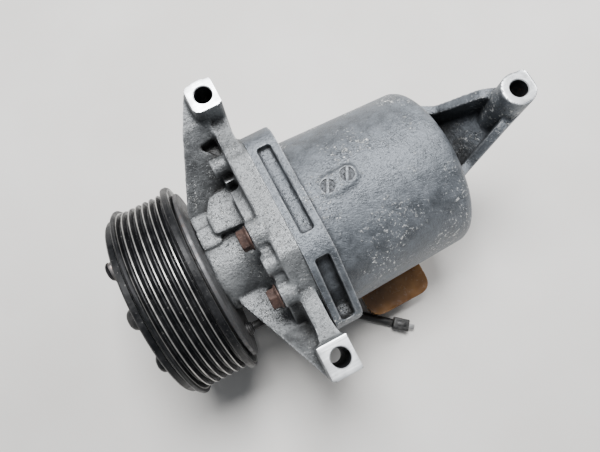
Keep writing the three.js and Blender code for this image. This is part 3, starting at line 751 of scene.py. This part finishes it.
# ---------------------------------------------------------------- rear shell
UPPER_FLANGE = [(54, 12), (45, 40), (38, 48), (-18, 49.5), (-26, 47), (-53, 27), (-55, 16)]
PORT_PAD = [(95, -44), (131, -44), (131, -30.5), (95, -30.5)]
OVAL_ENDS = [(92, 3), (102.5, 4)]
BAR_SLANT = 62
BRACKET_X0 = 146
PORTS_X = 113


def bracket_rib(y0, y1, thickness):
    """A rib of the rear bracket in its own upright plane, from the shell's end to the lug."""
    x0 = BRACKET_X0
    length = math.hypot(REAR_LUG_X - x0, y1 - y0)
    side = [(0, -14), (0, 22), (length * 0.45, 24), (length * 0.8, 43), (length, 46), (length, 26),
            (length * 0.86, 24)]
    verts, faces = prism(rounded(side, 2), -thickness / 2, thickness / 2, "y")
    turn = math.atan2(y1 - y0, REAR_LUG_X - x0)
    c, s = math.cos(turn), math.sin(turn)
    return [(x0 + x * c - y * s, y0 + x * s + y * c, z) for x, y, z in verts], faces


def bracket_floor():
    edge = REAR_LUG_X - 4
    section = [(BRACKET_X0, -14), (edge, REAR_LUG_FOOT_Z), (edge, REAR_LUG_FOOT_Z + 4)]
    section.append((BRACKET_X0, -9.5))
    slope = mesh_object("bracket_floor", prism(section, -40, 40, "y"))
    plan = [(145, 33), (145, -23), (REAR_LUG_X, -4), (REAR_LUG_X, 5)]
    return combine(slope, common=[prism(plan, -30, 60, "z")])


def shell_cast():
    outer = [(SHELL_X0 - 1, 0), (SHELL_X0 - 1, SHELL_R0), (84.5, 46.5), (149.6, SHELL_R1), (152.4, 43),
             (154.2, 41), (SHELL_END_X, 38.2), (SHELL_END_X, 0)]
    flange = UPPER_FLANGE + [(y, -z) for y, z in reversed(UPPER_FLANGE)]
    oval = [(87.5, -1.6), (97, -2), (107, -0.8), (107, 8.4), (97, 8), (87.5, 7.4)]
    lug_pad = [(REAR_LUG_X + 8, 8.6), (REAR_LUG_X - 5, 7), (REAR_LUG_X - 8, 0), (REAR_LUG_X, -8),
               (REAR_LUG_X + 8, -3)]
    near = [(-23, 45.5), (-32, 60), (-60, 40), (-51, 23), (-45, 21), (-38, 31), (-24, 42)]
    piece = mesh_object("rear_shell_casting", turned(outer, 160))
    combine(piece, joined=[
        prism(rounded(flange, 4), SHELL_X0 - 1, SHELL_FLANGE_X1, "x"),
        prism(rounded(oval, 4.6), 38, 46.9, "z"),
        bracket_rib(30, 6, 5),
        bracket_rib(-21, -5.5, 4.6),
        bracket_floor(),
        post(REAR_LUG_X, REAR_LUG_Y, REAR_LUG_FOOT_Z, REAR_PAD_Z, REAR_LUG_R),
        prism(rounded(lug_pad, 4), REAR_PAD_Z - 12, REAR_PAD_Z, "z"),
        prism(rounded(PORT_PAD, 5), -38, -8, "z"),
    ])
    combine(piece, removed=[
        prism(rounded([(33, 45.5), (33, 60), (-10, 60), (-12, 46)], 1), 71, 77.6, "x"),
        prism(rounded(near, 1), 70.8, 77.8, "x"),
    ])
    return cast_skin(piece)


def oval_marks():
    """Two shallow dished rounds in the oval boss, each with a slanting bar left standing."""
    marks = []
    for x, y in OVAL_ENDS:
        dish = mesh_object("dish", post(x, y, 46.3, 48, 3.5, 48))
        c, s = polar(BAR_SLANT, 1)
        verts, faces = block(-5, 5, -0.55, 0.55, 45, 49)
        bar = [(x + a * c - b * s, y + a * s + b * c, z) for a, b, z in verts]
        marks.append(combine(dish, removed=[(bar, faces)]))
    return marks


def rear_shell():
    piece = shell_cast()
    bore = [(60, 0), (60, CAVITY_R), (144, CAVITY_R - 0.4), (147, CAVITY_R - 4), (147, 0)]
    combine(piece, removed=[
        block(SHELL_X0 - 6, SHELL_X0, -90, 90, -90, 90),
        turned(bore),
        tube_ring(SHELL_X0 - 1, 69.4, 37.2, 39.7),
        *lug_cuts(REAR_LUG_X, REAR_LUG_Y, REAR_LUG_FOOT_Z, REAR_PAD_Z),
        post(104, -36.5, -39, -8, 4.5),
        post(122, -36.5, -39, -8, 4.5),
        *[rod(SHELL_X0 - 1, BOLT_END_X + 0.2, BOLT_HOLE_R, y, z, 32) for y, z in bolt_centres],
        *oval_marks(),
    ])
    dress(piece, "rear_shell", "cast_rear", sharp=40)
    paint(piece, "machined_aluminium", is_shell_machined)
    # Painted shade: the wall of the rear lug bolt hole gets the near-black bore material.
    paint(piece, "painted_shade_bore", lambda x, y, z, n: in_bore(x - REAR_LUG_X, y - REAR_LUG_Y, n))


def is_shell_machined(x, y, z, normal):
    from_hole = math.hypot(x - REAR_LUG_X, y - REAR_LUG_Y)
    hole = from_hole < LUG_HOLE_R + 1 and z > REAR_LUG_FOOT_Z - 1
    pad = x > REAR_LUG_X - 12 and (z > REAR_PAD_Z - 0.5 and normal.z > 0.97)
    foot = from_hole < REAR_LUG_R and z < REAR_LUG_FOOT_Z + 0.4
    joint = x < SHELL_X0 + 0.01 and abs(normal.x) > 0.99
    bored = x < 147.1 and math.hypot(y, z) < CAVITY_R + 0.05
    ports = z < -37.7 and abs(x - PORTS_X) < 19 and normal.z < -0.97
    return hole or pad or foot or joint or bored or ports


rear_shell()


# ---------------------------------------------------------------- housing bolts
def hexagon(x0, x1, radius, y, z, turn=0):
    points = [polar(60 * i + turn, radius) for i in range(6)]
    return prism([(y + a, z + b) for a, b in points], x0, x1, "x")


def housing_bolt(number, y, z):
    """A flanged hexagon bolt with a chamfered head."""
    seat = BOLT_SEAT_X - 0.3
    top = BOLT_SEAT_X - 5.3
    head = mesh_object(f"housing_bolt_head_{number}", hexagon(top, seat - 1, 5.2, y, z, 11 * number))
    crown = [(top, 0), (top, 4.3), (top + 0.7, 5.3), (seat, 5.3), (seat, 0)]
    combine(head, common=[turned(crown, 48, y, z)])
    washer = [(seat, 0), (seat, 5.9), (seat - 0.5, 5.95), (seat - 1.5, 4.8), (seat - 1.5, 0)]
    dish = [(top - 0.7, 0), (top - 0.7, 3.4), (top + 0.5, 2.6), (top + 0.5, 0)]
    shank = rod(seat - 0.5, BOLT_END_X, 3, y, z, 32)
    combine(head, joined=[turned(washer, 48, y, z), shank], removed=[turned(dish, 32, y, z)])
    bevelled(head, 0.18)
    return dress(head, f"housing_bolt_{number}", "rusty_steel")


for i, (y, z) in enumerate(bolt_centres):
    housing_bolt(i + 1, y, z)


# ---------------------------------------------------------------- pulley
def pulley():
    """A grooved rim with bevelled ribs, a friction face and a bearing hub."""
    crest, valley = 0.22, 0.4
    profile = [(PULLEY_X0, 24.5), (PULLEY_X0, 50), (PULLEY_X0 + 0.5, 51.3), (PULLEY_X0 + 1.2, RIM_R),
               (-3.6, RIM_R), (-3.2, RIM_R - 0.4)]
    for i in range(GROOVES):
        x = (i - 0.5) * RIB_PITCH
        if i > 0:
            profile.append((x - RIB_PITCH / 2 + crest, CREST_R))
            profile.append((x - RIB_PITCH / 2 + crest + 0.14, CREST_R - 0.2))
        profile.append((x - valley, GROOVE_R + 0.1))
        profile.append((x, GROOVE_R))
        profile.append((x + valley, GROOVE_R + 0.1))
        if i < GROOVES - 1:
            profile.append((x + RIB_PITCH / 2 - crest - 0.14, CREST_R - 0.2))
            profile.append((x + RIB_PITCH / 2 - crest, CREST_R))
    profile += [(21, RIM_R - 0.4), (21.5, RIM_R), (23.4, RIM_R), (PULLEY_X1, RIM_R - 0.8)]
    profile += [(PULLEY_X1, 44.2), (PULLEY_X1 - 0.5, 43.8), (-0.5, 43.8), (-0.5, 29.6)]
    profile += [(21.2, 29.6), (21.5, 29.3), (21.5, 26.3), (0.6, 26.3), (0.6, 24.5)]
    piece = mesh_object("pulley_rim", closed_turn(profile, 192))
    return dress(piece, "pulley", "pulley_black", sharp=28)


pulley()


# ---------------------------------------------------------------- clutch
def stud(kind, k):
    """Middle of one of three rivets or stops: 0 on the armature, 1 on the hub, 2 a rubber stop."""
    return polar(FIRST_STUD + STUD_STEP * (3 * k + kind), STUD_CIRCLE_R)


def armature_plate():
    """The friction plate, with a hole for every stud."""
    x0, x1, r = ARMATURE_X0, ARMATURE_X1, ARMATURE_R
    section = [(x0, 17.3), (x0 + 0.3, 17), (x1, 17), (x1, r - 0.3), (x1 - 0.3, r)]
    section += [(x0 + 0.9, r), (x0 + 0.2, r - 0.6), (x0, r - 1.1)]
    piece = mesh_object("armature_disc", closed_turn(section, 160))
    holes = []
    for k in range(3):
        for kind, radius in enumerate((2.6, 5, 2.6)):
            holes.append(rod(x0 - 1, x1 + 1, radius, *stud(kind, k), 40))
    combine(piece, removed=holes)
    return dress(piece, "armature_plate", "black_steel", sharp=30)


def clutch_hub():
    boss = [(-14.6, 0), (-14.6, 11.4), (-14, 12), (-4.1, 12), (-4.1, 0)]
    piece = mesh_object("hub_spider", turned(boss, 96))
    arm = rounded([(0, -7), (38.5, -5.4), (43.1, 0), (38.5, 5.4), (0, 7)], 3)
    angles = [FIRST_STUD + STUD_STEP * (3 * k + 1) for k in range(3)]
    arms = [about(prism(arm, -13, -11.3, "x"), a) for a in angles]
    combine(piece, joined=[rod(-13, -11.3, 21, sides=96), *arms])
    holes = [rod(-14, -10, 2.6, *stud(1, k), 32) for k in range(3)]
    combine(piece, removed=[rod(-16, -12.8, 4, sides=40), rod(-13, -3, 7.8, sides=64), *holes])
    bevelled(piece, 0.35)
    return dress(piece, "clutch_hub", "hub_steel")


def leaf_spring(k):
    (y0, z0), (y1, z1) = stud(0, k), stud(1, k)
    length = math.hypot(y1 - y0, z1 - z0)
    strip = rounded([(-5, -4.6), (length + 5, -4.6), (length + 5, 4.6), (-5, 4.6)], 4)
    piece = mesh_object(f"leaf_spring_strip_{k + 1}", prism(strip, -10.9, -9.9, "x"))
    combine(piece, removed=[rod(-12, -9, 2.6, 0, 0, 32), rod(-12, -9, 2.6, length, 0, 32)])
    spin = Matrix.Rotation(math.atan2(z1 - z0, y1 - y0), 4, "X")
    shaft = Matrix.Translation(place(0, 0, 0))
    piece.data.transform(Matrix.Translation(place(0, y0, z0)) @ spin @ shaft.inverted())
    bevelled(piece, 0.15)
    return dress(piece, f"leaf_spring_{k + 1}", "spring_steel")


def rivet(kind, k, material, spot, tail_x, tail_r, seat_x, head_r, height):
    """A domed rivet or stop, its head towards the front."""
    steps = 8
    dome = [(seat_x - height * math.sin(math.radians(90 * i / steps)),
             max(head_r * math.cos(math.radians(90 * i / steps)) ** 0.6, 0)) for i in range(steps)]
    tail = [(tail_x, 0), (tail_x, tail_r), (tail_x - 1.6, tail_r), (tail_x - 1.6, 2.2)]
    profile = [*tail, (seat_x, 2.2), *dome, (seat_x - height, 0)]
    piece = mesh_object(f"{kind}_dome_{k + 1}", turned(profile, 48, *spot))
    return dress(piece, f"{kind}_{k + 1}", material)


def hub_bolt():
    head = mesh_object("hub_bolt_head", hexagon(-19, -15.8, 6.4, 0, 0))
    crown = [(-19, 0), (-19, 5.2), (-18.2, 6.5), (-15, 6.5), (-15, 0)]
    combine(head, common=[turned(crown, 64)])
    combine(head, joined=[turned([(-16.2, 0), (-16.2, 7.7), (-15.9, 8), (-14.9, 8), (-14.9, 0)], 64),
                          rod(-15.2, 6, 3, sides=40)])
    bevelled(head, 0.2)
    return dress(head, "hub_bolt", "hub_steel")


armature_plate()
clutch_hub()
hub_bolt()
for k in range(3):
    leaf_spring(k)
    rivet("armature_rivet", k, "black_steel", stud(0, k), -6.5, 2.2, -11.2, 5, 3.2)
    rivet("hub_rivet", k, "black_steel", stud(1, k), -7.6, 3.6, -13.3, 4.6, 1.9)
    rivet("rubber_stop", k, "rubber", stud(2, k), -6.5, 2.2, -9.9, 5.6, 4.6)


# ---------------------------------------------------------------- coil housing and grommet
LEAD_R = LEAD_DIAMETER / 2 / MM
LEAD_SPOT = (LEAD_ROUTE[0][1] / MM, LEAD_ROUTE[0][2] / MM + PAD_Z)


def coil_housing():
    section = [(2, 30.4), (2.2, 30.2), (25, 30.2), (25, 20.6), (27, 20.6), (27, 46.2)]
    section += [(26.6, 46.6), (25.4, 46.6), (25, 46.2), (25, 43.1), (2.2, 43.1)]
    section += [(2, 42.9), (2, 41.2), (21, 41.2), (21, 32.2), (2, 32.2)]
    piece = mesh_object("coil_housing_shell", closed_turn(section, 160))
    combine(piece, removed=[rod(20, 28, LEAD_R + 1.4, *LEAD_SPOT, 40)])
    return dress(piece, "coil_housing", "sooty_steel")


def grommet():
    """A stepped, tapered rubber bush round the lead where it leaves the coil housing."""
    r = LEAD_R
    profile = [(21.3, 0), (21.3, r + 0.9), (27.3, r + 0.9), (27.3, r + 1.9), (28.1, r + 1.9)]
    profile += [(28.4, r + 1.3), (29, r + 1.2), (29.3, r + 0.8), (30, r + 0.6)]
    profile += [(30.3, r + 0.4), (30.3, 0)]
    piece = mesh_object("lead_bush", turned(profile, 48, *LEAD_SPOT))
    return dress(piece, "lead_grommet", "rubber")


coil_housing()
grommet()


# ---------------------------------------------------------------- transit cover
def transit_cover():
    """A moulded cap with a crowned floor and rounded corners, hollow over the hose ports."""
    corners = [(93, -60), (133, -60), (133, -29.3), (93, -29.3)]
    layers = [(-36.4, 0.3), (-36.7, 0), (-43.6, 0), (-45.6, 0.5)]
    layers += [(-47.2, 1.5), (-48.6, 3.2), (-49.4, 5.4), (-49.8, 8.6)]
    verts, faces = [], []
    for z, inset in layers:
        shrunk = [(x + math.copysign(inset, PORTS_X - x), y + math.copysign(inset, -45 - y))
                  for x, y in corners]
        ring = rounded(shrunk, max(9 - inset * 0.5, 4), 8)
        verts += [(x, y, z) for x, y in ring]
    count = len(verts) // len(layers)
    for k in range(len(layers) - 1):
        for i in range(count):
            j = (i + 1) % count
            faces.append([k * count + i, k * count + j, (k + 1) * count + j, (k + 1) * count + i])
    faces.append(list(range(count)))
    faces.append(list(range(len(verts) - count, len(verts))))
    piece = mesh_object("transit_cap", (verts, faces))
    mouth = rounded([(94.6, -44.4), (131.4, -44.4), (131.4, -30.1), (94.6, -30.1)], 5.2)
    combine(piece, removed=[prism(mouth, -38.4, -30, "z")])
    return dress(piece, "transit_cover", "brown_plastic", sharp=30)


transit_cover()


# ---------------------------------------------------------------- inner pieces kept from the model
def finish_inner_pieces():
    for name, node in frame["nodes"].items():
        if node.hide_render:
            continue
        node.data.materials.clear()
        node.data.materials.append(MATERIALS[NODE_SLOTS[name]])


finish_inner_pieces()


# ---------------------------------------------------------------- floor and light
def add_floor():
    size = 3
    low = CAD_LOW.z - 0.0002
    corners = [(-size, -size, low), (size, -size, low), (size, size, low), (-size, size, low)]
    mesh = bpy.data.meshes.new("floor")
    mesh.from_pydata(corners, [], [(0, 1, 2, 3)])
    mesh.materials.append(pale_floor("floor"))
    floor = bpy.data.objects.new("floor", mesh)
    bpy.context.scene.collection.objects.link(floor)


def add_light(name, spot, target, size, power):
    light = bpy.data.lights.new(name, "AREA")
    light.shape = "RECTANGLE"
    light.size, light.size_y = size
    light.energy = power
    lamp = bpy.data.objects.new(name, light)
    lamp.location = spot
    lamp.rotation_euler = (Vector(target) - Vector(spot)).to_track_quat("-Z", "Y").to_euler()
    bpy.context.scene.collection.objects.link(lamp)


def add_world():
    world = bpy.data.worlds.new("world")
    world.use_nodes = True
    background = world.node_tree.nodes["Background"]
    background.inputs["Color"].default_value = (0.9, 0.94, 1, 1)
    background.inputs["Strength"].default_value = 0.22
    bpy.context.scene.world = world


add_floor()
middle = (CAD_LOW + CAD_HIGH) / 2
add_light("ceiling", middle + Vector((0.05, 0.3, 0.8)), middle, (0.45, 0.35), 16)
add_light("window", middle + Vector((0.75, 0.2, 0.4)), middle, (0.35, 0.35), 5)
add_world()
